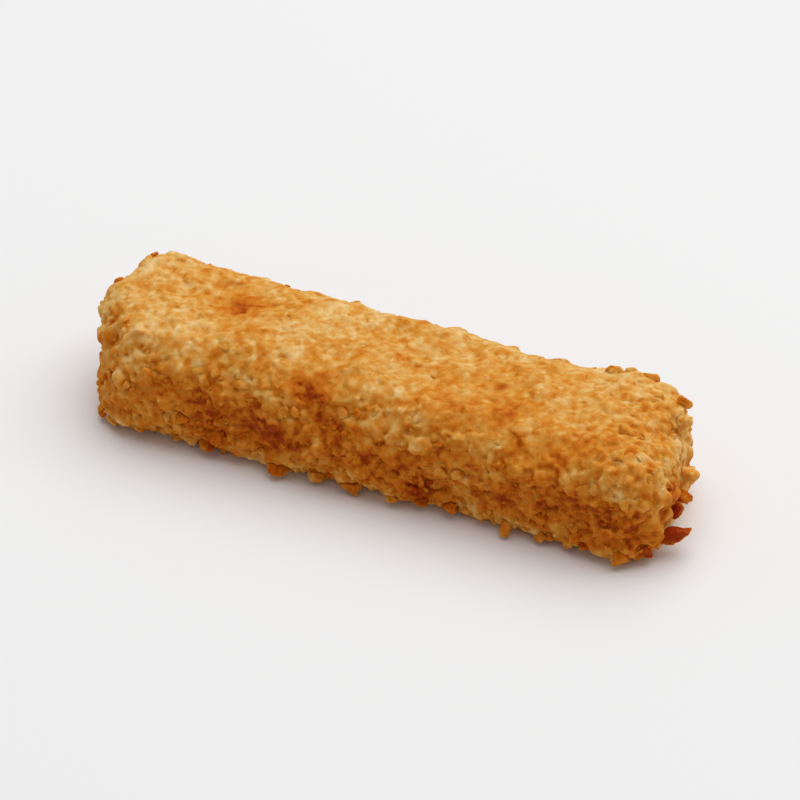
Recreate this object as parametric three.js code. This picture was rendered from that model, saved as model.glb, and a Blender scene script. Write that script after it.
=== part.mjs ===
// A breaded fish stick: one solid bar of fish in its crumb coat, lying on its flat underside.
//
// Millimetres, +Z up. The bar runs along X and its width along Y. The origin lies under the middle
// of the bar, on the surface that it rests on. The sizes are taken over the crumb coat, so the
// solid holds the rounded, slightly puffed and waisted outer form that the crumbs give the bar.
// Left is -X, right is +X, front is -Y and back is +Y.

import * as THREE from 'three';
import { SimplexNoise } from 'three/addons/math/SimplexNoise.js';
import { mergeVertices } from 'three/addons/utils/BufferGeometryUtils.js';

// Overall size over the crumbs.
const LENGTH = 85;
const WIDTH = 26.6;
const HEIGHT = 17;

// How far the rounding of the long edges runs in from the sides, the top and the underside.
const SIDE_ROUNDING = 6.4;
const TOP_ROUNDING = 6.4;
const UNDERSIDE_ROUNDING = 4.2;

// How far the rounding of each end runs in along the bar, at its front and back corners.
const END_ROUNDING = {
  left: { front: 8, back: 4.5 },
  right: { front: 6, back: 6 },
};

// The bar is thinner half way along and at its right end, which is cut slightly askew.
const WAIST = 0.03;
const TAPER = 0.024;
const SKEW = -0.12;

// Every face puffs out in its middle, and the bar bows sideways in plan.
const TOP_CROWN = 0.5;
const SIDE_CROWN = 0.3;
const END_CROWN = 0.25;
const BOW = 0.25;

// Swells of the coat, from the broad humps of the batter down to clusters of crumbs: how wide each
// kind is, and how far it rises or sinks.
const SWELLS = [
  { span: 30, most: 0.4 },
  { span: 13, most: 0.38 },
  { span: 6, most: 0.24 },
];
const SWELL_SEED = 71;

// The swells fade out over this height above the surface that the bar rests on.
const FLAT_FADE = 3.6;

// Grid of the box that the bar is shaped from.
const STEPS_LONG = 56;
const STEPS_WIDE = 17;
const STEPS_HIGH = 10;

const CRUMB_GOLD = 0xd2954a;
const CRUMB_ROUGHNESS = 0.85;

const half = new THREE.Vector3(LENGTH, WIDTH, HEIGHT).multiplyScalar(0.5);

// Noise from -1 to 1 that gives the same humps every time.
function seededNoise(seed) {
  THREE.MathUtils.seededRandom(seed);
  return new SimplexNoise({ random: () => THREE.MathUtils.seededRandom() });
}

const swellNoise = seededNoise(SWELL_SEED);

// How far the rounding reaches in from each face near a point of the plain box.
function roundingAt(point) {
  const end = point.x < 0 ? END_ROUNDING.left : END_ROUNDING.right;
  const backwards = (point.y / half.y + 1) / 2;
  return new THREE.Vector3(
    THREE.MathUtils.lerp(end.front, end.back, backwards),
    SIDE_ROUNDING,
    point.z < 0 ? UNDERSIDE_ROUNDING : TOP_ROUNDING,
  );
}

// Moves a point of the plain box on to the box's rounded edges and corners, and returns the
// direction that faces outwards there.
function roundOff(point) {
  const rounding = roundingAt(point);
  const core = half.clone().sub(rounding);
  const nearest = point.clone().clamp(core.clone().negate(), core);
  const reach = point.clone().sub(nearest).divide(rounding).normalize();
  point.copy(reach).multiply(rounding).add(nearest);
  return reach.divide(rounding).normalize();
}

// Puffs the top, the sides and the ends out, most in the middle of each face.
function crown(point) {
  const { x, y, z } = point.clone().divide(half);
  const dome = (a, b) => (1 - a * a) * (1 - b * b);
  point.x += END_CROWN * x * dome(y, z);
  point.y += SIDE_CROWN * y * dome(x, z);
  point.z += TOP_CROWN * Math.max(z, 0) * dome(x, y);
}

// Raises and sinks the coat along the outward direction. The flat underside keeps its place.
function swell(point, outward) {
  const fade = THREE.MathUtils.smoothstep(point.z + half.z, 0, FLAT_FADE);
  let rise = 0;
  for (const { span, most } of SWELLS) {
    rise += most * swellNoise.noise3d(point.x / span, point.y / span, point.z / span);
  }
  point.addScaledVector(outward, rise * fade);
}

// Thins the bar half way along and towards its right end, sets that end askew and bows the whole
// sideways. Heights are taken from the underside, so that it stays flat.
function drawOut(point) {
  const along = point.x / half.x;
  const slim = (1 - WAIST * Math.cos((Math.PI / 2) * along) ** 2) * (1 - TAPER * along);
  point.x += (SKEW * point.y * (along + 1)) / 2;
  point.y = point.y * slim + BOW * (1 - along * along);
  point.z = (point.z + half.z) * slim;
}

// Brings the finished bar to its overall size, centred over the origin and resting on z = 0.
function fitToSize(geometry) {
  geometry.computeBoundingBox();
  const { min, max } = geometry.boundingBox;
  geometry.translate(-(min.x + max.x) / 2, -(min.y + max.y) / 2, -min.z);
  geometry.scale(LENGTH / (max.x - min.x), WIDTH / (max.y - min.y), HEIGHT / (max.z - min.z));
}

function fishStickGeometry() {
  const box = new THREE.BoxGeometry(LENGTH, WIDTH, HEIGHT, STEPS_LONG, STEPS_WIDE, STEPS_HIGH);
  box.deleteAttribute('normal');
  box.deleteAttribute('uv');
  const bar = mergeVertices(box);
  const places = bar.getAttribute('position');
  const point = new THREE.Vector3();
  for (let i = 0; i < places.count; i += 1) {
    point.fromBufferAttribute(places, i);
    const outward = roundOff(point);
    crown(point);
    swell(point, outward);
    drawOut(point);
    places.setXYZ(i, point.x, point.y, point.z);
  }
  fitToSize(bar);
  bar.computeVertexNormals();
  return bar;
}

function fishStick() {
  const coat = new THREE.MeshStandardMaterial({
    color: CRUMB_GOLD,
    roughness: CRUMB_ROUGHNESS,
    metalness: 0,
  });
  const mesh = new THREE.Mesh(fishStickGeometry(), coat);
  mesh.name = 'fish_stick';
  return mesh;
}

const model = new THREE.Group();
model.add(fishStick());

export default model;
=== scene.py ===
"""The looks of one breaded fish stick: its browned crust, the crumbs that stand on it and a plain studio.

Sizes are in millimetres until a mesh is made, which is in metres like everything in Blender. The bar
lies along X with its front at -Y, on the surface z = 0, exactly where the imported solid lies.
"""

from __future__ import annotations

import logging
import math
from dataclasses import dataclass
from enum import Enum

import bmesh
import bpy
import numpy as np
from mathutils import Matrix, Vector, noise
from mathutils.bvhtree import BVHTree
from mathutils.kdtree import KDTree


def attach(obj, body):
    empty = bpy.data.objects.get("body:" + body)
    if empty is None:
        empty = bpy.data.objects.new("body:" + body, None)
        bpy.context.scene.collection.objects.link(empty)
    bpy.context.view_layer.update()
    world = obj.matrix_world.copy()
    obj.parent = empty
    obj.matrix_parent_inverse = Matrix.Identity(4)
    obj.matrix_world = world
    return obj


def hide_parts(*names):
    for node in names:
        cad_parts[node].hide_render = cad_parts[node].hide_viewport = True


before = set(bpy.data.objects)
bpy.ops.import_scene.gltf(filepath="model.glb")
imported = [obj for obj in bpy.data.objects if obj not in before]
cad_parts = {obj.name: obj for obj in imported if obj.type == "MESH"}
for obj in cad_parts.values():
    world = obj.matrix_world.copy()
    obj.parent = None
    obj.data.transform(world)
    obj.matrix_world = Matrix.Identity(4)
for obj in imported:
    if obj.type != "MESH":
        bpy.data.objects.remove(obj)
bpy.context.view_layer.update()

log = logging.getLogger("fish_stick")

NODE = "fish_stick"
BODY = "root"
MM = 0.001
UP = (0.0, 0.0, 1.0)

# No vector is divided by a length below this.
TINY = 1e-12

# The curve of a screen's colours.
SCREEN_WHITE = 255.0
SCREEN_TOE = 0.04045
SCREEN_TOE_SLOPE = 12.92
SCREEN_LIFT = 0.055
SCREEN_GAMMA = 2.4

# Added to a piece's seed for the shapes of its crumbs, for its flakes and for its tones.
SHAPE_SEED = 500
FLAKE_SEED = 900
TONE_SEED = 1

Array = np.ndarray
Place = tuple[float, float, float]
Span = tuple[float, float]
NodeTree = bpy.types.NodeTree
Socket = bpy.types.NodeSocket


def unit(vectors: Array) -> Array:
    """Returns the rows of an array as vectors of length 1."""
    return vectors / np.maximum(np.linalg.norm(vectors, axis=1, keepdims=True), TINY)


def smooth_between(low: float, high: float, values: Array) -> Array:
    """Returns 0 below low and 1 above high, with a smooth rise between them."""
    t = np.clip((values - low) / (high - low), 0.0, 1.0)
    return t * t * (3.0 - 2.0 * t)


def bell(places: Array, middle: Place, reach: float) -> Array:
    """Returns 1 at the middle, about a third at the reach and next to nothing at twice the reach."""
    off = np.linalg.norm(places - middle, axis=1)
    return np.exp(-((off / reach) ** 2))


def field_noise(points: Array, span: float, shift: float = 0.0) -> Array:
    """Returns noise of about -1 to 1 at each point, with humps a span wide, moved along by the shift."""
    moved = points / span + shift
    return np.array([noise.noise(Vector(p)) for p in moved])


def linear(red: float, green: float, blue: float) -> tuple[float, float, float, float]:
    """Turns a screen colour into the linear one that a shader takes.

    Args:
        red: how red the screen is, from 0 to 255.
        green: how green it is.
        blue: how blue it is.

    Returns:
        The linear colour from 0 to 1, with full cover.
    """
    made = []
    for value in (red, green, blue):
        share = value / SCREEN_WHITE
        if share <= SCREEN_TOE:
            made.append(share / SCREEN_TOE_SLOPE)
        else:
            made.append(((share + SCREEN_LIFT) / (1.0 + SCREEN_LIFT)) ** SCREEN_GAMMA)
    return (made[0], made[1], made[2], 1.0)


def mesh_object(name: str, points: Array, triangles: Array) -> bpy.types.Object:
    """Makes a smooth-shaded mesh object from arrays.

    Args:
        name: the piece's name.
        points: vertices in millimetres, one a row.
        triangles: vertex numbers, three a row.

    Returns:
        The new object, linked to the scene.
    """
    mesh = bpy.data.meshes.new(name)
    mesh.vertices.add(len(points))
    mesh.vertices.foreach_set("co", (points * MM).astype(np.float32).ravel())
    mesh.loops.add(triangles.size)
    mesh.loops.foreach_set("vertex_index", triangles.astype(np.int32).ravel())
    mesh.polygons.add(len(triangles))
    mesh.polygons.foreach_set("loop_start", np.arange(0, triangles.size, 3, dtype=np.int32))
    mesh.update(calc_edges=True)
    mesh.validate()
    mesh.shade_smooth()
    made = bpy.data.objects.new(name, mesh)
    bpy.context.scene.collection.objects.link(made)
    return made


def arrays_of(mesh: bpy.types.Mesh) -> tuple[Array, Array]:
    """Reads a mesh.

    Args:
        mesh: a mesh in metres.

    Returns:
        Its vertices in millimetres and its triangles.
    """
    points = np.zeros(len(mesh.vertices) * 3)
    mesh.vertices.foreach_get("co", points)
    mesh.calc_loop_triangles()
    triangles = np.zeros(len(mesh.loop_triangles) * 3, dtype=np.int32)
    mesh.loop_triangles.foreach_get("vertices", triangles)
    return points.reshape(-1, 3) / MM, triangles.reshape(-1, 3)


class Crumb(Enum):
    """The kinds of crumb that stand on the crust."""

    FINE = "fine_crumbs"
    MIDDLE = "middle_crumbs"
    COARSE = "coarse_crumbs"
    TOASTED = "toasted_crumbs"


@dataclass
class Coating:
    """A part of the coat as arrays: its mesh, and what its finish reads at each vertex."""

    points: Array
    triangles: Array
    browning_and_shading: Array
    tone: Array
    relief: Array

    @classmethod
    def joined(cls, parts: list[Coating]) -> Coating:
        """Joins several parts into one.

        Args:
            parts: the parts, in the order that their vertices get.

        Returns:
            The whole.
        """
        starts = np.cumsum([0] + [len(part.points) for part in parts[:-1]])
        return cls(
            np.concatenate([part.points for part in parts]),
            np.concatenate([part.triangles + start for part, start in zip(parts, starts)]),
            np.concatenate([part.browning_and_shading for part in parts]),
            np.concatenate([part.tone for part in parts]),
            np.concatenate([part.relief for part in parts]),
        )

    def dress(self, made: bpy.types.Object, finish: bpy.types.Material) -> None:
        """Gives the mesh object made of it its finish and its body.

        Args:
            made: the object, whose vertices are in the same order.
            finish: the material, which reads the numbers stored here.
        """
        for name, values in (
            ("browning_and_shading", self.browning_and_shading),
            ("crumb_tone", self.tone),
            ("relief", self.relief),
        ):
            layer = made.data.attributes.new(name, "FLOAT", "POINT")
            layer.data.foreach_set("value", values.astype(np.float32))
        made.data.materials.append(finish)
        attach(made, BODY)


@dataclass(frozen=True)
class Hump:
    """A place where the batter is thicker than elsewhere, or thinner where the rise is below zero."""

    place: Place
    reach: float
    rise: float


@dataclass
class BarSurface:
    """The batter's outer face, which every crumb is laid on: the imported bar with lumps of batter."""

    points: Array
    triangles: Array

    # Vertices that agree to a step, of which a millimetre has this many, are one.
    join_steps: float = 1000.0

    # Lumps, each kind with its span and its height. They are higher on the sides than on the top.
    lumps: tuple[Span, ...] = ((7.5, 0.5), (3.4, 0.3))
    lump_shift: float = 5.3
    side_gain: float = 0.5
    side_until: Span = (0.3, 0.9)
    humps: tuple[Hump, ...] = (
        Hump((-41.5, -0.4, 12.8), 5.2, 2.0),
        Hump((38.6, -9.3, 13.4), 3.4, 0.7),
        Hump((31.0, 9.8, 14.6), 5.0, 0.6),
        Hump((-38.6, -10.8, 14.2), 5.0, -2.2),
        Hump((-41.5, -9.5, 7.5), 4.5, -1.2),
        Hump((12.5, -12.2, 1.9), 5.0, -1.6),
    )

    # All of it, like the inset below, fades out towards the flat underside, from this height down.
    flat_fade: float = 2.5

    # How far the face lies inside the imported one, and how much further at the left and right end.
    inset: float = 0.55
    end_inset: Span = (0.4, 0.95)

    # Crests above this height are pressed in everywhere. On the smooth top all that stands out is
    # pressed in, and the hollows are filled.
    crest: float = 0.8
    crest_press: float = 0.6
    press: float = 0.5
    fill: float = 0.85

    # The facings that the smooth top begins between, and how far the right end loses it, and where.
    flat_from: Span = (0.3, 0.86)
    rough_end: float = 0.7
    rough_from: Span = (27.0, 38.0)

    # How likely a browned crumb is anywhere, low down and round the rim of the top, and how that
    # fades on the underside and on the smooth top.
    brown_share: float = 0.08
    brown_low: float = 0.75
    brown_low_until: Span = (0.1, 0.45)
    brown_under_until: Span = (0.6, 0.9)
    brown_rim: float = 0.4
    rim_facing: float = 0.6
    rim_width: float = 0.22
    brown_top_loss: float = 0.7

    @classmethod
    def of_node(cls, node: str) -> BarSurface:
        """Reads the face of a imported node."""
        return cls(*arrays_of(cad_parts[node].data))

    def __post_init__(self) -> None:
        """Joins the vertices, raises the lumps and works out areas, normals and the box."""
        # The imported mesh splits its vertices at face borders, so they are joined by place.
        keys = np.round(self.points * self.join_steps).astype(np.int64)
        _, first, same = np.unique(keys, axis=0, return_index=True, return_inverse=True)
        self.points = self.points[first]
        self.triangles = same.reshape(-1)[self.triangles]
        self.low = self.points.min(0)
        self.high = self.points.max(0)
        outward = self._normals()
        self.points = self.points + outward * self._rise(outward)[:, None]
        self.normals = self._normals()
        a, b, c = (self.points[self.triangles[:, i]] for i in range(3))
        self.areas = np.linalg.norm(np.cross(b - a, c - a), axis=1) / 2.0
        self.tree = BVHTree.FromPolygons(self.points.tolist(), self.triangles.tolist())

    def _rise(self, outward: Array) -> Array:
        """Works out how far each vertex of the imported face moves, inwards where negative.

        Args:
            outward: the outward direction at each vertex.

        Returns:
            One distance for each vertex.
        """
        fade = smooth_between(0.0, self.flat_fade, self.points[:, 2])
        along = outward[:, 0]
        left, right = self.end_inset
        rise = -self.inset - left * np.maximum(-along, 0.0) - right * np.maximum(along, 0.0)
        gain = 1.0 + self.side_gain * (1.0 - smooth_between(*self.side_until, outward[:, 2]))
        for span, most in self.lumps:
            rise += gain * most * field_noise(self.points, span, self.lump_shift)
        for hump in self.humps:
            rise += hump.rise * bell(self.points, hump.place, hump.reach)
        return rise * fade

    def height_share(self, places: Array) -> Array:
        """Returns how high each place is, from 0 at the underside to 1 at the top."""
        return (places[:, 2] - self.low[2]) / (self.high[2] - self.low[2])

    def pressed(self, relief: Array, on_top: Array) -> Array:
        """Works out how far the coat is pressed flat, which is more on the smooth top.

        Args:
            relief: heights above the batter's face, or below it where negative.
            on_top: how far each of them belongs to the smooth top, from 0 to 1.

        Returns:
            How far each place moves towards the batter's face.
        """
        over = np.maximum(relief - self.crest, 0.0) * self.crest_press
        share = np.where(relief < 0.0, self.fill, self.press)
        return over + (relief - over) * share * on_top

    def on_top(self, places: Array, outward: Array) -> Array:
        """Returns 1 on the smooth top, 0 on the rough sides and a share on the edges and the right end."""
        rough = self.rough_end * smooth_between(*self.rough_from, places[:, 0])
        return (1.0 - rough) * smooth_between(*self.flat_from, outward[:, 2])

    def edge_share(self, places: Array, outward: Array) -> Array:
        """Works out how likely a browned crumb is: most along the lower and the upper edges.

        Args:
            places: places on the face.
            outward: the outward directions there.

        Returns:
            One share for each place.
        """
        upward = outward[:, 2]
        low = 1.0 - smooth_between(*self.brown_low_until, self.height_share(places))
        low *= 1.0 - smooth_between(*self.brown_under_until, -upward)
        rim = np.exp(-(((upward - self.rim_facing) / self.rim_width) ** 2))
        share = self.brown_share + self.brown_low * low + self.brown_rim * rim
        return share * (1.0 - self.brown_top_loss * self.on_top(places, outward))

    def relief(self, places: Array) -> tuple[Array, Array]:
        """Measures how far each place stands above the batter's face, or below it where negative.

        Args:
            places: places near the face, in millimetres.

        Returns:
            The heights and the face's outward directions there.
        """
        rise = np.zeros(len(places))
        facing = np.zeros((len(places), 3))
        for i, place in enumerate(places.tolist()):
            spot, outward, _, far = self.tree.find_nearest(place)
            rise[i] = math.copysign(far, (Vector(place) - spot).dot(outward))
            facing[i] = outward
        return rise, facing

    def _normals(self) -> Array:
        """Works out the outward directions.

        Returns:
            One direction for each vertex.
        """
        a, b, c = (self.points[self.triangles[:, i]] for i in range(3))
        cross = np.cross(b - a, c - a)
        summed = np.zeros((len(self.points), 3))
        for i in range(3):
            np.add.at(summed, self.triangles[:, i], cross)
        return unit(summed)

    def scatter(self, rng: np.random.Generator, count: int) -> tuple[Array, Array]:
        """Picks places evenly over the whole face.

        Args:
            rng: the source of chance.
            count: how many places.

        Returns:
            The places and the outward directions there.
        """
        face = rng.choice(len(self.areas), size=count, p=self.areas / self.areas.sum())
        r1 = np.sqrt(rng.random(count))
        r2 = rng.random(count)
        shares = np.stack([1.0 - r1, r1 * (1.0 - r2), r1 * r2], axis=1)
        corners = self.triangles[face]
        places = np.einsum("ij,ijk->ik", shares, self.points[corners])
        outward = unit(np.einsum("ij,ijk->ik", shares, self.normals[corners]))
        return places, outward

    def spread(self, rng: np.random.Generator, spacing: float, tries: int) -> tuple[Array, Array]:
        """Picks places that keep a distance from each other.

        Args:
            rng: the source of chance.
            spacing: the least distance between two places.
            tries: how many places are tried.

        Returns:
            The places kept and the outward directions there.
        """
        places, outward = self.scatter(rng, tries)
        cells = np.floor(places / spacing).astype(int)
        taken: dict[tuple[int, int, int], list[int]] = {}
        kept: list[int] = []
        steps = [(i, j, k) for i in (-1, 0, 1) for j in (-1, 0, 1) for k in (-1, 0, 1)]
        limit = spacing * spacing
        spots = places.tolist()
        for n, (cx, cy, cz) in enumerate(cells.tolist()):
            x, y, z = spots[n]
            near = (spots[m] for i, j, k in steps for m in taken.get((cx + i, cy + j, cz + k), ()))
            if any((p - x) ** 2 + (q - y) ** 2 + (r - z) ** 2 < limit for p, q, r in near):
                continue
            kept.append(n)
            taken.setdefault((cx, cy, cz), []).append(n)
        return places[kept], outward[kept]


@dataclass
class CrumbShapes:
    """A set of irregular crumb shapes, each about 1 across, that the coat repeats in other sizes."""

    seed: int
    kinds: int = 24
    fineness: int = 2

    # The planes that a crumb breaks along, and how sharp the edges between them are.
    facets: int = 9
    facet_depth: Span = (0.5, 1.0)
    least_depth: float = 0.8
    sharpness: float = 12.0

    # The lobes that grow on it, its creases and its grain.
    lobes: int = 3
    lobe_rise: float = 0.3
    lobe_narrowness: float = 7.0
    crease: float = 0.5
    crease_level: float = 0.25
    crease_span: float = 0.62
    roughness: float = 0.14
    rough_span: float = 0.27
    most_shift: float = 50.0

    # Its width and its height as shares of its length.
    width: Span = (0.6, 0.95)
    flatness: Span = (0.5, 0.85)

    @classmethod
    def rounded(cls, seed: int, kinds: int, fineness: int) -> CrumbShapes:
        """Returns plumper shapes with softer edges, for large crumbs that stand out."""
        return cls(seed, kinds, fineness, facets=7, sharpness=8.0, lobes=2, crease=0.45)

    def __post_init__(self) -> None:
        """Shapes every kind."""
        rng = np.random.default_rng(self.seed)
        ball = bmesh.new()
        bmesh.ops.create_icosphere(ball, subdivisions=self.fineness, radius=1.0)
        directions = unit(np.array([v.co[:] for v in ball.verts]))
        self.triangles = np.array([[v.index for v in f.verts] for f in ball.faces])
        ball.free()
        self.shapes = np.stack([self._shape(rng, directions) for _ in range(self.kinds)])

    def _shape(self, rng: np.random.Generator, directions: Array) -> Array:
        """Breaks a lump off along random planes, grows lobes on it, roughens it and flattens it.

        Args:
            rng: the source of chance.
            directions: the directions of a ball's vertices.

        Returns:
            The vertices of one crumb.
        """
        cuts = unit(rng.normal(size=(self.facets, 3)))
        depths = rng.uniform(*self.facet_depth, self.facets)
        facing = np.maximum(directions @ cuts.T, 0.0) / depths
        nearest = (facing**self.sharpness).sum(1) ** (1.0 / self.sharpness)
        reach = 1.0 / np.maximum(nearest, self.least_depth)
        knobs = unit(rng.normal(size=(self.lobes, 3)))
        reach += self.lobe_rise * np.exp(self.lobe_narrowness * (directions @ knobs.T - 1.0)).sum(1)
        shift = rng.uniform(0.0, self.most_shift)
        creases = self.crease_level - np.abs(field_noise(directions, self.crease_span, shift))
        grain = field_noise(directions, self.rough_span, shift)
        bumps = self.crease * creases + self.roughness * grain
        lump = directions * (reach * (1.0 + bumps))[:, None]
        lump *= [1.0, rng.uniform(*self.width), rng.uniform(*self.flatness)]
        return 0.5 * lump / np.abs(lump).max()


@dataclass(frozen=True)
class Spot:
    """A spot where the coat is browner, or paler where the change is below zero: mostly where it took more
    or less heat, and in one place low on the front partly painted shade.
    """

    place: Place
    reach: float
    change: float


@dataclass(frozen=True)
class Patches:
    """Uneven browning: how wide its patches are, and how far they change the top and the sides."""

    span: float
    shift: float
    change: float
    more_on_sides: float


@dataclass
class BrowningAndShading:
    """How brown each place of the coat is, from 0 for pale batter to 1 for dark toast, with painted shade
    on the sides and low down and painted light at the foot.
    """

    surface: BarSurface
    spots: tuple[Spot, ...] = (
        # The top.
        Spot((-23.4, 0.6, 16.2), 2.9, 0.66),
        Spot((-31.0, 5.5, 16.3), 8.0, 0.09),
        Spot((-27.1, -7.5, 16.0), 3.5, 0.1),
        Spot((-12.0, 2.0, 16.7), 8.0, 0.05),
        Spot((11.0, 4.0, 16.0), 3.5, 0.14),
        Spot((8.5, -3.5, 16.2), 5.0, 0.1),
        Spot((13.9, -0.7, 15.9), 4.0, 0.08),
        Spot((14.6, -8.2, 15.5), 3.0, 0.16),
        Spot((7.0, -7.5, 16.3), 7.0, 0.09),
        Spot((19.0, -5.5, 16.3), 7.0, 0.1),
        Spot((22.1, -3.2, 16.1), 4.0, 0.08),
        Spot((18.6, -6.0, 15.6), 2.4, 0.2),
        Spot((21.0, -6.2, 15.8), 2.6, 0.1),
        Spot((31.0, -4.0, 16.0), 7.0, 0.08),
        Spot((31.6, -1.0, 16.0), 3.0, -0.1),
        Spot((29.5, -8.5, 15.2), 3.6, 0.3),
        Spot((34.0, -8.0, 15.7), 3.0, 0.12),
        Spot((37.5, -2.7, 15.3), 4.0, 0.2),
        Spot((38.4, -7.3, 15.3), 2.5, 0.08),
        Spot((37.2, -10.2, 14.6), 2.5, 0.1),
        Spot((38.9, 1.3, 14.3), 3.0, 0.1),
        Spot((29.5, 9.3, 15.0), 3.0, 0.06),
        # The upper edge in front.
        Spot((-37.0, -10.5, 14.2), 3.2, -0.04),
        Spot((-32.8, -12.2, 12.9), 3.0, -0.08),
        Spot((-27.5, -11.2, 14.3), 2.4, -0.1),
        Spot((-20.8, -11.5, 13.3), 2.4, -0.14),
        Spot((-21.4, -12.6, 10.1), 2.6, 0.36),
        Spot((-14.5, -12.6, 10.8), 2.0, 0.14),
        Spot((-16.8, -12.2, 11.6), 2.4, -0.22),
        Spot((-18.0, -9.4, 15.2), 2.8, 0.28),
        Spot((-13.0, -11.0, 14.0), 2.5, 0.12),
        Spot((-8.8, -11.0, 14.1), 3.7, 0.58),
        Spot((-1.6, -10.5, 14.3), 2.4, -0.16),
        Spot((-2.8, -11.9, 11.9), 2.6, 0.24),
        Spot((2.2, -11.5, 12.3), 3.0, 0.16),
        Spot((14.0, -11.5, 12.9), 4.5, -0.12),
        Spot((7.7, -10.2, 14.6), 2.2, 0.12),
        Spot((6.6, -11.3, 12.9), 2.2, -0.18),
        Spot((13.0, -12.4, 11.4), 2.2, 0.16),
        Spot((19.0, -10.8, 13.6), 2.6, -0.22),
        Spot((24.9, -11.8, 12.4), 2.2, -0.18),
        Spot((22.3, -11.3, 13.3), 2.6, 0.3),
        Spot((27.6, -11.3, 13.0), 2.6, 0.18),
        Spot((30.7, -12.2, 11.9), 2.2, -0.16),
        # The front.
        Spot((-35.8, -11.9, 12.0), 2.6, -0.12),
        Spot((-31.7, -13.0, 7.0), 3.0, 0.14),
        Spot((-27.5, -12.8, 11.9), 3.0, 0.16),
        Spot((-23.5, -12.4, 4.8), 3.8, 0.34),
        # Browner low on the front: partly toast and partly painted shade.
        Spot((-12.4, -12.8, 7.8), 3.2, 0.58),
        Spot((-13.5, -12.5, 5.8), 4.0, 0.16),
        Spot((-8.2, -12.5, 4.6), 3.0, -0.2),
        Spot((-11.4, -12.3, 11.5), 2.6, -0.36),
        Spot((-5.6, -12.6, 8.2), 3.0, 0.26),
        Spot((1.2, -12.5, 7.6), 2.4, 0.1),
        Spot((5.8, -12.6, 6.0), 2.6, 0.2),
        Spot((-1.5, -12.6, 8.8), 2.6, 0.2),
        Spot((7.0, -12.6, 6.0), 3.0, 0.12),
        Spot((24.3, -12.3, 9.6), 2.6, 0.18),
        Spot((15.2, -12.3, 10.8), 2.5, 0.16),
        Spot((27.8, -12.2, 8.8), 4.0, 0.34),
        Spot((31.0, -12.4, 7.5), 3.0, 0.15),
        Spot((35.3, -12.4, 9.4), 2.4, -0.14),
        Spot((37.9, -12.3, 9.8), 2.2, -0.12),
        Spot((37.3, -12.2, 5.4), 3.6, 0.3),
        Spot((39.8, -11.5, 6.2), 2.6, 0.2),
        # The two ends.
        Spot((42.0, -5.0, 6.2), 3.2, 0.14),
        Spot((44.3, -4.5, 3.5), 1.4, -0.42),
        Spot((39.8, 2.5, 13.0), 3.2, -0.12),
        Spot((41.0, 4.0, 11.5), 4.0, -0.2),
        Spot((41.2, 0.4, 3.5), 3.5, -0.16),
        Spot((-41.0, -3.0, 10.0), 6.0, -0.06),
        Spot((41.6, -4.6, 6.9), 2.4, 0.12),
        Spot((-40.0, 5.0, 14.0), 4.0, -0.1),
    )

    # The level on the top, and what the sides, their lower part and their foot add to it. The browner
    # sides and the browner lower part are partly real browning and partly painted shade, where less light
    # reaches.
    level: float = 0.305
    side_browning_and_shade: float = 0.22
    low_browning_and_shade: float = 0.20
    # The paler foot is painted light, which offsets the floor's shadow along the foot.
    foot_painted_light: float = -0.22

    # Which facing counts as side, and how high up the lower part and the foot reach.
    side_until: Span = (0.1, 1.0)
    side_bend: float = 1.3
    low_until: Span = (0.0, 0.6)
    foot_until: Span = (0.02, 0.26)

    patches: tuple[Patches, ...] = (Patches(7.0, 3.1, 0.11, 0.13), Patches(3.0, 7.7, 0.13, 0.11))
    warp: float = 1.1
    warp_span: float = 2.6
    warp_shifts: Place = (11.0, 23.0, 37.0)
    least: float = 0.1
    least_more_on_sides: float = 0.22

    def at(self, places: Array, outward: Array) -> Array:
        """Works the browning out, with the painted shade on the sides and low down and the painted light
        at the foot.

        Args:
            places: places on the coat, in millimetres.
            outward: the outward directions there.

        Returns:
            One number from 0 to 1 for each place.
        """
        height = self.surface.height_share(places)
        start, end = self.side_until
        side = 1.0 - np.clip((outward[:, 2] - start) / (end - start), 0.0, 1.0) ** self.side_bend
        low = 1.0 - smooth_between(*self.low_until, height)
        foot = 1.0 - smooth_between(*self.foot_until, height)
        level = self.level + self.side_browning_and_shade * side + self.low_browning_and_shade * low + self.foot_painted_light * foot
        # The spots' outlines are frayed by reading them a little off their places.
        pushes = [field_noise(places, self.warp_span, shift) for shift in self.warp_shifts]
        frayed = places + self.warp * np.stack(pushes, axis=1)
        for spot in self.spots:
            level += spot.change * bell(frayed, spot.place, spot.reach)
        for patch in self.patches:
            change = patch.change + patch.more_on_sides * side
            level += change * field_noise(places, patch.span, patch.shift)
        return np.clip(level, self.least + self.least_more_on_sides * side, 1.0)


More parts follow.
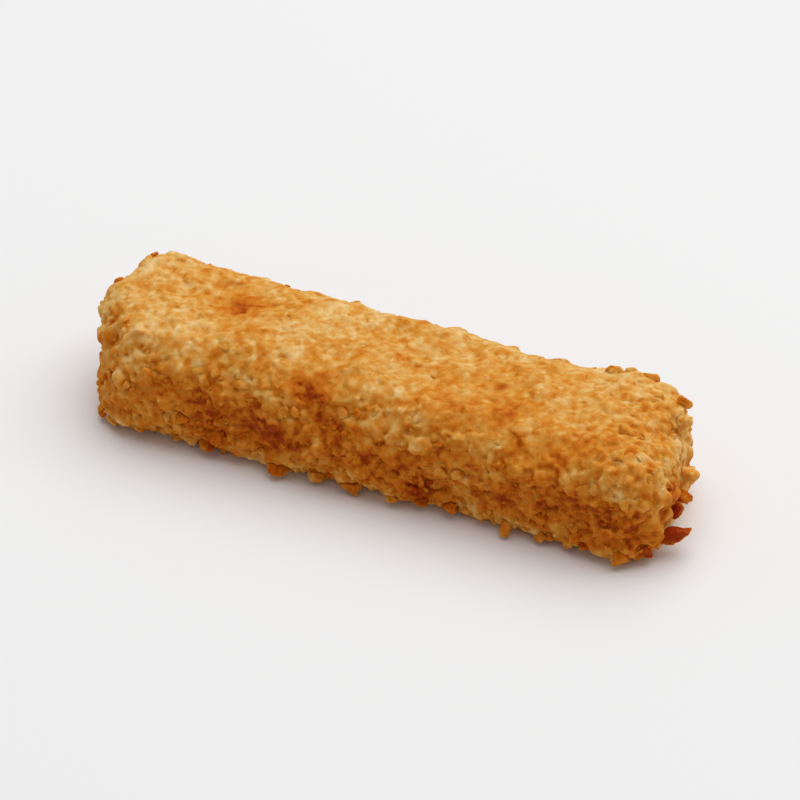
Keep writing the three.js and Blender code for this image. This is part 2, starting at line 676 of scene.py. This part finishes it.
@dataclass(frozen=True)
class CrumbFinish:
    """Fried breadcrumb: golden to toasted brown, rough and porous, with a little oil on it."""

    name: str

    # Screen colours from pale batter to toast, each with its browning level.
    steps: tuple[tuple[float, Place], ...] = (
        (0.00, (237, 204, 147)),
        (0.20, (230, 185, 112)),
        (0.40, (221, 156, 66)),
        (0.60, (212, 130, 32)),
        (0.80, (197, 103, 9)),
    )
    darkest: Place = (160, 61, 2)

    # What changes the level: relief, which paints shade into the hollows, patches, mottling, grain and
    # single cells of crumb.
    relief_painted_shade: float = -0.08
    patch_size: float = 5.0
    patch_change: float = 0.45
    mottle_size: float = 1.3
    mottle_change: float = 0.65
    grain_size: float = 0.45
    grain_change: float = 0.25
    cell_size: float = 0.85
    cell_fray: float = 0.5
    cell_change: float = 0.24

    # The small relief of the cells and of the grit on them.
    cell_height: float = 0.09
    grit_size: float = 0.32
    grit_height: float = 0.07
    noise_detail: float = 3.0

    # Gloss, and the light that goes a little way into the crumb.
    roughness: float = 0.58
    shine: float = 0.07
    glow: float = 0.6
    glow_tint: Place = (1.0, 0.7, 0.5)
    depth: float = 0.5

    def material(self) -> bpy.types.Material:
        """Builds the node material.

        Returns:
            The material, which reads the numbers that the coat's meshes hold.
        """
        made = bpy.data.materials.new(self.name)
        made.use_nodes = True
        tree = made.node_tree
        shader = tree.nodes["Principled BSDF"]
        place = tree.nodes.new("ShaderNodeTexCoord").outputs["Object"]
        # Higher places are paler and the hollows browner: painted shade in the hollows.
        level = self._scaled(tree, self._attribute(tree, "relief"), self.relief_painted_shade, 0.0)
        for name in ("browning_and_shading", "crumb_tone"):
            level = self._sum(tree, level, self._attribute(tree, name))
        for size, change in (
            (self.patch_size, self.patch_change),
            (self.mottle_size, self.mottle_change),
            (self.grain_size, self.grain_change),
        ):
            level = self._varied(tree, level, self._noise(tree, place, size), change)
        cells = self._cells(tree, place)
        level = self._varied(tree, level, cells.outputs["Color"], self.cell_change)
        tree.links.new(self._colour(tree, level), shader.inputs["Base Color"])
        tree.links.new(self._bump(tree, place, cells.outputs["Distance"]), shader.inputs["Normal"])
        shader.inputs["Roughness"].default_value = self.roughness
        shader.inputs["Specular IOR Level"].default_value = self.shine
        shader.inputs["Subsurface Weight"].default_value = self.glow
        shader.inputs["Subsurface Radius"].default_value = self.glow_tint
        shader.inputs["Subsurface Scale"].default_value = self.depth * MM
        return made

    def _colour(self, tree: NodeTree, level: Socket) -> Socket:
        """Looks the colour up.

        Args:
            tree: the material's nodes.
            level: the browning level.

        Returns:
            The colour for that level.
        """
        ramp = tree.nodes.new("ShaderNodeValToRGB")
        stops = ramp.color_ramp.elements
        stops[0].position, stops[0].color = self.steps[0][0], linear(*self.steps[0][1])
        stops[1].position, stops[1].color = 1.0, linear(*self.darkest)
        for position, colour in self.steps[1:]:
            stops.new(position).color = linear(*colour)
        tree.links.new(level, ramp.inputs["Fac"])
        return ramp.outputs["Color"]

    def _cells(self, tree: NodeTree, place: Socket) -> bpy.types.Node:
        """Adds small cells of crumb with frayed borders, each with its own shade.

        Args:
            tree: the material's nodes.
            place: where the surface is.

        Returns:
            The node with the cells' shades and the distance from their middles.
        """
        push = tree.nodes.new("ShaderNodeTexNoise")
        push.inputs["Scale"].default_value = 1.0 / (self.cell_size * MM)
        tree.links.new(place, push.inputs["Vector"])
        moved = tree.nodes.new("ShaderNodeVectorMath")
        moved.operation = "MULTIPLY_ADD"
        moved.inputs[1].default_value = (self.cell_fray * self.cell_size * MM,) * 3
        tree.links.new(push.outputs["Color"], moved.inputs[0])
        tree.links.new(place, moved.inputs[2])
        cells = tree.nodes.new("ShaderNodeTexVoronoi")
        cells.inputs["Scale"].default_value = 1.0 / (self.cell_size * MM)
        tree.links.new(moved.outputs["Vector"], cells.inputs["Vector"])
        return cells

    def _bump(self, tree: NodeTree, place: Socket, cells: Socket) -> Socket:
        """Adds the small relief.

        Args:
            tree: the material's nodes.
            place: where the surface is.
            cells: the distance from the middle of the nearest cell.

        Returns:
            A normal with small cells and finer grit on top of them.
        """
        lumps = tree.nodes.new("ShaderNodeBump")
        lumps.invert = True
        lumps.inputs["Distance"].default_value = self.cell_height * MM
        tree.links.new(cells, lumps.inputs["Height"])
        grit = tree.nodes.new("ShaderNodeBump")
        grit.inputs["Distance"].default_value = self.grit_height * MM
        tree.links.new(self._noise(tree, place, self.grit_size), grit.inputs["Height"])
        tree.links.new(lumps.outputs["Normal"], grit.inputs["Normal"])
        return grit.outputs["Normal"]

    def _noise(self, tree: NodeTree, place: Socket, size: float) -> Socket:
        """Adds noise.

        Args:
            tree: the material's nodes.
            place: where the surface is.
            size: how wide its humps are, in millimetres.

        Returns:
            A value of about 0 to 1.
        """
        node = tree.nodes.new("ShaderNodeTexNoise")
        node.inputs["Scale"].default_value = 1.0 / (size * MM)
        node.inputs["Detail"].default_value = self.noise_detail
        tree.links.new(place, node.inputs["Vector"])
        return node.outputs["Fac"]

    def _varied(self, tree: NodeTree, level: Socket, value: Socket, change: float) -> Socket:
        """Returns the level as a value from 0 to 1 varies it, by half the change up or down."""
        return self._sum(tree, level, self._scaled(tree, value, change, -change / 2.0))

    @staticmethod
    def _attribute(tree: NodeTree, name: str) -> Socket:
        """Reads a number stored on the mesh.

        Args:
            tree: the material's nodes.
            name: the number's name.

        Returns:
            Its value.
        """
        node = tree.nodes.new("ShaderNodeAttribute")
        node.attribute_name = name
        return node.outputs["Fac"]

    @staticmethod
    def _sum(tree: NodeTree, a: Socket, b: Socket) -> Socket:
        """Adds two values.

        Args:
            tree: the material's nodes.
            a: one value.
            b: the other.

        Returns:
            Their sum.
        """
        node = tree.nodes.new("ShaderNodeMath")
        tree.links.new(a, node.inputs[0])
        tree.links.new(b, node.inputs[1])
        return node.outputs[0]

    @staticmethod
    def _scaled(tree: NodeTree, value: Socket, by: float, plus: float) -> Socket:
        """Multiplies a value and adds to it.

        Args:
            tree: the material's nodes.
            value: the value.
            by: what it is multiplied by.
            plus: what is added after that.

        Returns:
            The new value.
        """
        node = tree.nodes.new("ShaderNodeMath")
        node.operation = "MULTIPLY_ADD"
        node.inputs[1].default_value = by
        node.inputs[2].default_value = plus
        tree.links.new(value, node.inputs[0])
        return node.outputs[0]


CRUST_FINISH = CrumbFinish("crust")
CRUMB_FINISH = CrumbFinish("crumbs", glow=0.35, depth=0.3, cell_size=0.6, cell_height=0.07)
TOAST_FINISH = CrumbFinish(
    "toasted", darkest=(158, 51, 8), glow=0.75, depth=0.7, shine=0.05, cell_size=0.6, cell_height=0.07
)


def turned(rng: np.random.Generator, outward: Array, lean: float) -> Array:
    """Makes frames for crumbs that lie on a surface with a random spin and a lean.

    Args:
        rng: the source of chance.
        outward: the surface's outward directions.
        lean: how far crumbs tip over: half of them by 30 degrees or more at 0.5, by 50 or more at 1.

    Returns:
        One 3 by 3 matrix for each direction; its rows are the crumb's own axes.
    """
    up = unit(outward + lean * rng.normal(size=outward.shape))
    along = unit(np.cross(up, rng.normal(size=outward.shape)))
    across = np.cross(up, along)
    return np.stack([along, across, up], axis=1)


@dataclass(frozen=True)
class Flake:
    """One large crumb that stands out of the coat, with its long side along a given direction."""

    place: Place
    along: Place
    size: Place
    tone: float


EDGE_FLAKES = (
    # The right end's lower corner, and the foot of the front.
    Flake((42.2, -5.5, 3.2), (0.9, 0.43, 0.12), (5.0, 2.6, 2.5), 0.42),
    Flake((36.4, -11.2, 1.8), (0.9, -0.3, 0.0), (3.2, 2.8, 2.2), 0.16),
    Flake((39.5, -9.2, 2.0), (0.9, -0.4, 0.1), (3.0, 3.0, 2.4), 0.22),
    Flake((20.7, -11.1, 1.4), (0.1, -1.0, -0.1), (3.2, 1.9, 2.0), 0.28),
    Flake((12.0, -10.3, 1.7), (0.8, -0.6, 0.0), (2.8, 2.0, 1.8), 0.14),
    Flake((-1.6, -11.5, 1.4), (-0.8, -0.6, 0.0), (3.0, 2.4, 1.8), 0.2),
    Flake((-11.9, -11.8, 1.4), (-0.6, -0.8, 0.0), (3.2, 2.2, 1.8), 0.1),
    Flake((-22.5, -11.2, 1.6), (0.8, -0.6, 0.0), (3.0, 2.4, 1.8), 0.1),
    # The upper edge at the back towards the right end, and one on that end.
    Flake((26.6, 9.1, 14.7), (0.95, 0.1, 0.1), (2.8, 2.2, 1.9), -0.03),
    Flake((28.9, 9.4, 14.9), (0.7, 0.4, 0.3), (2.4, 2.1, 1.9), 0.02),
    Flake((31.6, 9.4, 14.8), (0.9, -0.1, -0.2), (2.8, 2.2, 2.0), -0.03),
    Flake((34.1, 9.3, 13.9), (0.7, 0.3, 0.2), (2.6, 2.1, 1.9), 0.02),
    Flake((36.0, 9.1, 12.2), (0.7, 0.3, -0.4), (2.5, 2.0, 1.7), 0.0),
    Flake((37.2, 8.3, 9.9), (0.7, 0.7, 0.3), (2.2, 1.9, 1.7), 0.0),
    Flake((40.6, 1.6, 7.8), (0.9, 0.2, 0.0), (3.0, 2.1, 2.0), -0.05),
    Flake((27.9, 9.0, 14.9), (0.2, 0.9, 0.3), (1.8, 1.7, 1.5), 0.08),
    Flake((30.2, 9.2, 14.8), (0.5, -0.6, 0.5), (1.9, 1.7, 1.6), 0.0),
    Flake((33.0, 9.2, 14.3), (0.4, 0.8, -0.3), (1.9, 1.7, 1.6), 0.1),
    Flake((35.2, 8.8, 13.2), (0.8, 0.1, -0.5), (1.8, 1.6, 1.5), 0.05),
    # Smaller ones at the foot of the front.
    Flake((-6.8, -11.2, 1.3), (-0.8, -0.6, 0.0), (2.6, 2.0, 1.6), 0.1),
    Flake((4.0, -11.1, 1.3), (0.8, -0.6, 0.0), (2.5, 2.0, 1.6), 0.08),
    Flake((8.0, -10.4, 1.7), (0.5, -0.8, 0.0), (2.3, 1.8, 1.6), 0.12),
    Flake((25.6, -11.0, 1.3), (0.8, -0.6, 0.0), (2.3, 1.9, 1.6), 0.14),
    Flake((31.5, -10.7, 1.6), (-0.7, -0.7, 0.0), (2.3, 1.8, 1.6), 0.2),
    # The right end, from its upper corner at the back down to its lower part in front.
    Flake((36.9, 8.2, 14.0), (0.8, 0.4, 0.3), (2.6, 2.1, 1.9), 0.02),
    Flake((38.5, 4.3, 13.1), (0.8, 0.2, 0.4), (3.0, 2.3, 2.2), 0.04),
    Flake((40.9, -0.8, 5.8), (0.5, 0.8, 0.2), (2.6, 2.4, 2.4), 0.08),
    Flake((41.1, -2.7, 4.9), (0.4, 0.8, -0.4), (2.7, 2.6, 2.3), 0.14),
)


@dataclass
class Scatter:
    """One kind of crumb laid over the bar."""

    kind: Crumb
    surface: BarSurface
    browning_and_shading: BrowningAndShading
    seed: int

    # How many crumbs there are at most, how far apart and how large, with the bias to small ones.
    most: int
    spacing: float
    size: Span
    size_bias: float = 1.6
    tries: int = 20000
    fineness: int = 2

    # Where they go: how much rarer they get towards the smooth top, or whether they keep to the edges.
    top_thinning: int = 2
    edges_only: bool = False

    # How far they stand out, as shares of their size, how far they tip over, and how low they reach.
    stand: Span = (-0.2, 0.05)
    lean: float = 0.5
    floor: float = 0.02

    # How much browner than the coat around them they are.
    tone: float = 0.0
    spread_of_tone: float = 0.05
    tone_limits: Span = (-0.3, 0.4)

    flakes: tuple[Flake, ...] = ()

    def _spots(self, rng: np.random.Generator) -> tuple[Array, Array]:
        """Picks where the crumbs go: along the edges, or everywhere but on the smooth top.

        Args:
            rng: the source of chance.

        Returns:
            The places and the outward directions there.
        """
        places, outward = self.surface.spread(rng, self.spacing, self.tries)
        if self.edges_only:
            share = self.surface.edge_share(places, outward)
        else:
            share = (1.0 - self.surface.on_top(places, outward)) ** self.top_thinning
        wanted = rng.random(len(places)) < share
        return places[wanted][: self.most], outward[wanted][: self.most]

    def _crumbs(self) -> Coating:
        """Lays the crumbs out and presses them flat where the coat is smooth.

        Returns:
            The crumbs as one part of the coat.
        """
        rng = np.random.default_rng(self.seed)
        shapes = CrumbShapes(self.seed + SHAPE_SEED, fineness=self.fineness)
        places, outward = self._spots(rng)
        count = len(places)
        log.info("%s: %d crumbs", self.kind.value, count)
        sizes = self.size[0] + (self.size[1] - self.size[0]) * rng.random(count) ** self.size_bias
        kinds = rng.integers(0, shapes.kinds, count)
        frames = turned(rng, outward, self.lean)
        rise = sizes * rng.uniform(*self.stand, count)
        local = shapes.shapes[kinds] * sizes[:, None, None]
        turned_out = np.einsum("nvi,nij->nvj", local, frames)
        height = np.einsum("nvi,ni->nv", turned_out, outward) + rise[:, None]
        pressed = self.surface.pressed(height, self.surface.on_top(places, outward)[:, None])
        points = turned_out + (places + outward * rise[:, None])[:, None, :]
        points -= outward[:, None, :] * pressed[:, :, None]
        per = points.shape[1]
        triangles = shapes.triangles[None] + (np.arange(count) * per)[:, None, None]
        brown_and_shade = np.repeat(self.browning_and_shading.at(places, outward), per)
        tone = np.clip(rng.normal(self.tone, self.spread_of_tone, count), *self.tone_limits)
        relief = (height - pressed).reshape(-1)
        return Coating(
            points.reshape(-1, 3), triangles.reshape(-1, 3), brown_and_shade, np.repeat(tone, per), relief
        )

    def _flake(self, flake: Flake, shape: Array, triangles: Array) -> Coating:
        """Sets one large crumb where it stands.

        Args:
            flake: its place, direction, size and tone.
            shape: the vertices of a crumb about 1 across.
            triangles: the shape's triangles.

        Returns:
            The crumb as one part of the coat.
        """
        along = unit(np.array([flake.along]))
        across = unit(np.cross([UP], along))
        axes = np.concatenate([along, across, np.cross(along, across)])
        extent = shape.max(0) - shape.min(0)
        points = (shape / extent * flake.size) @ axes + flake.place
        count = len(points)
        brown_and_shade = self.browning_and_shading.at(points, np.repeat(along, count, axis=0))
        return Coating(points, triangles, brown_and_shade, np.full(count, flake.tone), np.zeros(count))

    def build(self, finish: bpy.types.Material) -> bpy.types.Object:
        """Makes the joined mesh of all the crumbs of this kind.

        Args:
            finish: the material.

        Returns:
            The piece.
        """
        parts = [self._crumbs()]
        if self.flakes:
            shapes = CrumbShapes.rounded(self.seed + FLAKE_SEED, len(self.flakes), self.fineness)
            for flake, shape in zip(self.flakes, shapes.shapes):
                parts.append(self._flake(flake, shape, shapes.triangles))
        whole = Coating.joined(parts)
        whole.points[:, 2] = np.maximum(whole.points[:, 2], self.floor)
        made = mesh_object(self.kind.value, whole.points, whole.triangles)
        whole.dress(made, finish)
        return made


@dataclass(frozen=True)
class Layer:
    """One layer of crumbs that are pressed into the batter and fused with it."""

    spacing: float
    size: Span
    stand: Span
    lean: float
    tries: int


@dataclass
class Crust:
    """The crust: batter with crumbs fused into it, made as one closed mesh."""

    surface: BarSurface
    browning_and_shading: BrowningAndShading
    seed: int = 11
    inset: float = 0.2
    layers: tuple[Layer, ...] = (
        Layer(2.7, (2.2, 3.9), (-0.22, 0.12), 0.9, 9000),
        Layer(1.6, (1.6, 2.7), (-0.3, 0.0), 0.5, 20000),
        Layer(1.0, (1.0, 1.8), (-0.2, 0.08), 0.4, 40000),
        Layer(0.75, (0.7, 1.2), (0.0, 0.3), 0.8, 40000),
    )
    size_bias: float = 1.4

    # The skin's mesh, and how far it is softened everywhere and on the top besides.
    voxel: float = 0.19
    most_triangles: int = 196000
    soften: float = 0.2
    soften_top: float = 0.4
    soften_rounds: int = 3
    floor: float = 0.02

    # The tones of the fused crumbs, and how wide the border between two of them is.
    spread_of_tone: float = 0.06
    toasted_share: float = 0.1
    toasted_tone: float = 0.16
    blend: float = 0.4

    def _lumps(self) -> tuple[Array, Array, Array]:
        """Lays the crumbs of every layer round the batter.

        Returns:
            Vertices and triangles of the batter core with its crumbs, and the places of the crumbs.
        """
        rng = np.random.default_rng(self.seed)
        shapes = CrumbShapes(self.seed + SHAPE_SEED)
        points = [self.surface.points - self.surface.normals * self.inset]
        triangles = [self.surface.triangles]
        crumbs = []
        start = len(points[0])
        for layer in self.layers:
            places, outward = self.surface.spread(rng, layer.spacing, layer.tries)
            count = len(places)
            log.info("crust: %d fused crumbs", count)
            sizes = rng.random(count) ** self.size_bias
            sizes = layer.size[0] + (layer.size[1] - layer.size[0]) * sizes
            frames = turned(rng, outward, layer.lean)
            local = shapes.shapes[rng.integers(0, shapes.kinds, count)] * sizes[:, None, None]
            centres = places + outward * (sizes * rng.uniform(*layer.stand, count))[:, None]
            placed = np.einsum("nvi,nij->nvj", local, frames) + centres[:, None, :]
            per = placed.shape[1]
            numbers = shapes.triangles[None] + (np.arange(count) * per)[:, None, None]
            points.append(placed.reshape(-1, 3))
            triangles.append(numbers.reshape(-1, 3) + start)
            crumbs.append(centres)
            start += count * per
        return np.concatenate(points), np.concatenate(triangles), np.concatenate(crumbs)

    def _skin(self, points: Array, triangles: Array) -> tuple[Array, Array]:
        """Fuses lumps that run through each other into one closed skin.

        Args:
            points: the lumps' vertices.
            triangles: their triangles.

        Returns:
            The skin's vertices and triangles.
        """
        lumps = mesh_object("lumps", points, triangles)
        remesh = lumps.modifiers.new("fuse", "REMESH")
        remesh.mode = "VOXEL"
        remesh.voxel_size = self.voxel * MM
        decimate = lumps.modifiers.new("thin_out", "DECIMATE")
        fine = lumps.evaluated_get(bpy.context.evaluated_depsgraph_get()).data
        log.info("crust: %d faces before thinning", len(fine.polygons))
        # The fused skin has four-sided faces, which are two triangles each.
        decimate.ratio = self.most_triangles / (2 * len(fine.polygons))
        fused = lumps.evaluated_get(bpy.context.evaluated_depsgraph_get()).to_mesh()
        points, triangles = arrays_of(fused)
        lumps.to_mesh_clear()
        bpy.data.objects.remove(lumps)
        return outer_shell(points, triangles)

    def _tones(self, points: Array, crumbs: Array) -> Array:
        """Gives each vertex the tone of the fused crumb next to it.

        Args:
            points: the crust's vertices.
            crumbs: the places of the fused crumbs.

        Returns:
            One tone for each vertex.
        """
        rng = np.random.default_rng(self.seed + TONE_SEED)
        own = rng.normal(0.0, self.spread_of_tone, len(crumbs))
        own += self.toasted_tone * (rng.random(len(crumbs)) < self.toasted_share)
        tree = KDTree(len(crumbs))
        for i, place in enumerate(crumbs.tolist()):
            tree.insert(place, i)
        tree.balance()
        tones = np.zeros(len(points))
        for i, place in enumerate(points.tolist()):
            (_, one, near), (_, two, far) = tree.find_n(place, 2)
            # Half of each where two crumbs are equally near, and one alone further in.
            share = 0.5 + 0.5 * min((far - near) / self.blend, 1.0)
            tones[i] = share * own[one] + (1.0 - share) * own[two]
        return tones

    def build(self, finish: bpy.types.Material) -> bpy.types.Object:
        """Makes the skin, presses and softens it, and dresses it.

        Args:
            finish: the material.

        Returns:
            The piece.
        """
        points, triangles, crumbs = self._lumps()
        points, triangles = self._skin(points, triangles)
        relief, facing = self.surface.relief(points)
        on_top = self.surface.on_top(points, facing)
        pressed = self.surface.pressed(relief, on_top)
        points -= facing * pressed[:, None]
        share = self.soften + self.soften_top * on_top
        points = smoothed(points, triangles, share, self.soften_rounds)
        points[:, 2] = np.maximum(points[:, 2], self.floor)
        made = mesh_object("crust", points, triangles)
        normals = np.zeros(len(points) * 3)
        made.data.vertices.foreach_get("normal", normals)
        browning_and_shading = self.browning_and_shading.at(points, normals.reshape(-1, 3))
        tone = self._tones(points, crumbs)
        Coating(points, triangles, browning_and_shading, tone, relief - pressed).dress(made, finish)
        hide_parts(NODE)
        return made


def smoothed(points: Array, triangles: Array, share: Array, rounds: int) -> Array:
    """Softens a mesh by drawing each vertex towards the middle of its neighbours.

    Args:
        points: vertices.
        triangles: vertex numbers, three a row.
        share: how far each vertex goes in a round, from 0 to 1.
        rounds: how many times this is done.

    Returns:
        The moved vertices.
    """
    ends = np.concatenate([triangles[:, [0, 1]], triangles[:, [1, 2]], triangles[:, [2, 0]]])
    count = np.bincount(ends.ravel(), minlength=len(points))[:, None]
    for _ in range(rounds):
        total = np.stack(
            [
                np.bincount(ends[:, 0], points[ends[:, 1], axis], len(points))
                + np.bincount(ends[:, 1], points[ends[:, 0], axis], len(points))
                for axis in range(3)
            ],
            axis=1,
        )
        points = points + share[:, None] * (total / count - points)
    return points


def outer_shell(points: Array, triangles: Array) -> tuple[Array, Array]:
    """Keeps only the largest connected part of a mesh, so that no closed bubble stays inside.

    Args:
        points: vertices.
        triangles: vertex numbers, three a row.

    Returns:
        The vertices and triangles that are kept.
    """
    label = np.arange(len(points))
    while True:
        low = label[triangles].min(1)
        new = label.copy()
        for i in range(3):
            np.minimum.at(new, triangles[:, i], low)
        new = new[new]
        if np.array_equal(new, label):
            break
        label = new
    main_part = np.bincount(label[triangles[:, 0]]).argmax()
    keep = label[triangles[:, 0]] == main_part
    used = np.unique(triangles[keep])
    number = np.full(len(points), -1)
    number[used] = np.arange(len(used))
    return points[used], number[triangles[keep]]


@dataclass
class Studio:
    """A pale floor, soft light from above and the camera. Its lengths are in metres."""

    azimuth: float = 25.5
    elevation: float = 34.0
    distance: float = 1.2
    bar_share: float = 0.84
    sight: float = 100.0
    floor_size: float = 6.0
    floor_colour: Place = (242, 242, 242)
    floor_roughness: float = 0.9
    sky_colour: tuple[float, float, float, float] = (1.0, 1.0, 1.0, 1.0)
    sky: float = 0.36
    softbox_size: float = 1.8
    softbox_place: Place = (0.15, 0.4, 1.2)
    softbox_power: float = 17.6

    def build(self, surface: BarSurface) -> None:
        """Sets up the floor, the lights and the camera.

        Args:
            surface: the bar's face, which the camera looks at.
        """
        self._floor()
        self._lights()
        self._camera(surface)
        bpy.context.scene.view_settings.view_transform = "Standard"

    def _floor(self) -> None:
        """Lays the floor."""
        bpy.ops.mesh.primitive_plane_add(size=self.floor_size)
        floor = bpy.context.object
        floor.name = "floor"
        paint = bpy.data.materials.new("pale_floor")
        paint.use_nodes = True
        shader = paint.node_tree.nodes["Principled BSDF"]
        shader.inputs["Base Color"].default_value = linear(*self.floor_colour)
        shader.inputs["Roughness"].default_value = self.floor_roughness
        floor.data.materials.append(paint)

    def _lights(self) -> None:
        """Hangs the soft light and sets the sky."""
        lamp = bpy.data.lights.new("softbox", "AREA")
        lamp.size = self.softbox_size
        lamp.energy = self.softbox_power
        holder = bpy.data.objects.new("softbox", lamp)
        holder.location = self.softbox_place
        holder.rotation_euler = (-holder.location).to_track_quat("-Z", "Y").to_euler()
        bpy.context.scene.collection.objects.link(holder)
        world = bpy.data.worlds.new("sky")
        world.use_nodes = True
        background = world.node_tree.nodes["Background"]
        background.inputs["Color"].default_value = self.sky_colour
        background.inputs["Strength"].default_value = self.sky
        bpy.context.scene.world = world

    def _camera(self, surface: BarSurface) -> None:
        """Aims the camera at the middle of the bar, which fills its share of the picture's width.

        Args:
            surface: the bar's face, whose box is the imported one.
        """
        middle = Vector((surface.low + surface.high) / 2.0 * MM)
        turn = math.radians(self.azimuth)
        rise = math.radians(self.elevation)
        level = math.cos(rise)
        away = Vector((math.sin(turn) * level, -math.cos(turn) * level, math.sin(rise)))
        eye = bpy.data.cameras.new("camera")
        length, width = (surface.high - surface.low)[:2] * MM
        shown = length * math.cos(turn) + width * math.sin(turn)
        eye.lens = eye.sensor_width * self.distance * self.bar_share / shown
        eye.clip_end = self.sight
        holder = bpy.data.objects.new("camera", eye)
        holder.location = middle + away * self.distance
        holder.rotation_euler = (-away).to_track_quat("-Z", "Y").to_euler()
        bpy.context.scene.collection.objects.link(holder)
        bpy.context.scene.camera = holder


def scatters(surface: BarSurface, browning_and_shading: BrowningAndShading) -> tuple[Scatter, ...]:
    """Lists the crumbs that stand on the crust, from fine to coarse and then the toasted ones.

    Args:
        surface: the batter's face.
        browning_and_shading: how brown the coat is, with its painted shade and light.

    Returns:
        One scatter for each kind of crumb.
    """
    laid_on = (surface, browning_and_shading)
    fine = Scatter(
        Crumb.FINE, *laid_on, seed=21, most=2400, spacing=0.5, size=(0.5, 1.0), spread_of_tone=0.04
    )
    middle = Scatter(
        Crumb.MIDDLE,
        *laid_on,
        seed=22,
        most=600,
        spacing=1.5,
        size=(1.0, 2.0),
        fineness=3,
        stand=(-0.2, 0.1),
        lean=0.7,
    )
    coarse = Scatter(
        Crumb.COARSE,
        *laid_on,
        seed=23,
        most=130,
        spacing=2.6,
        size=(1.8, 3.0),
        fineness=4,
        stand=(-0.2, 0.1),
        lean=0.9,
    )
    toasted = Scatter(
        Crumb.TOASTED,
        *laid_on,
        seed=24,
        most=400,
        spacing=1.9,
        size=(1.2, 3.0),
        fineness=3,
        stand=(-0.15, 0.22),
        lean=1.2,
        tone=0.1,
        edges_only=True,
        flakes=EDGE_FLAKES,
    )
    return fine, middle, coarse, toasted


def main() -> None:
    """Builds the fish stick and its studio."""
    logging.basicConfig(level=logging.INFO, format="%(name)s: %(message)s")
    surface = BarSurface.of_node(NODE)
    browning_and_shading = BrowningAndShading(surface)
    crust, crumbs, toast = (finish.material() for finish in (CRUST_FINISH, CRUMB_FINISH, TOAST_FINISH))
    pieces = [Crust(surface, browning_and_shading).build(crust)]
    for scatter in scatters(surface, browning_and_shading):
        pieces.append(scatter.build(toast if scatter.kind is Crumb.TOASTED else crumbs))
    for piece in pieces:
        log.info("%s: %d triangles", piece.name, len(piece.data.polygons))
    Studio().build(surface)


if __name__ == "__main__":
    main()
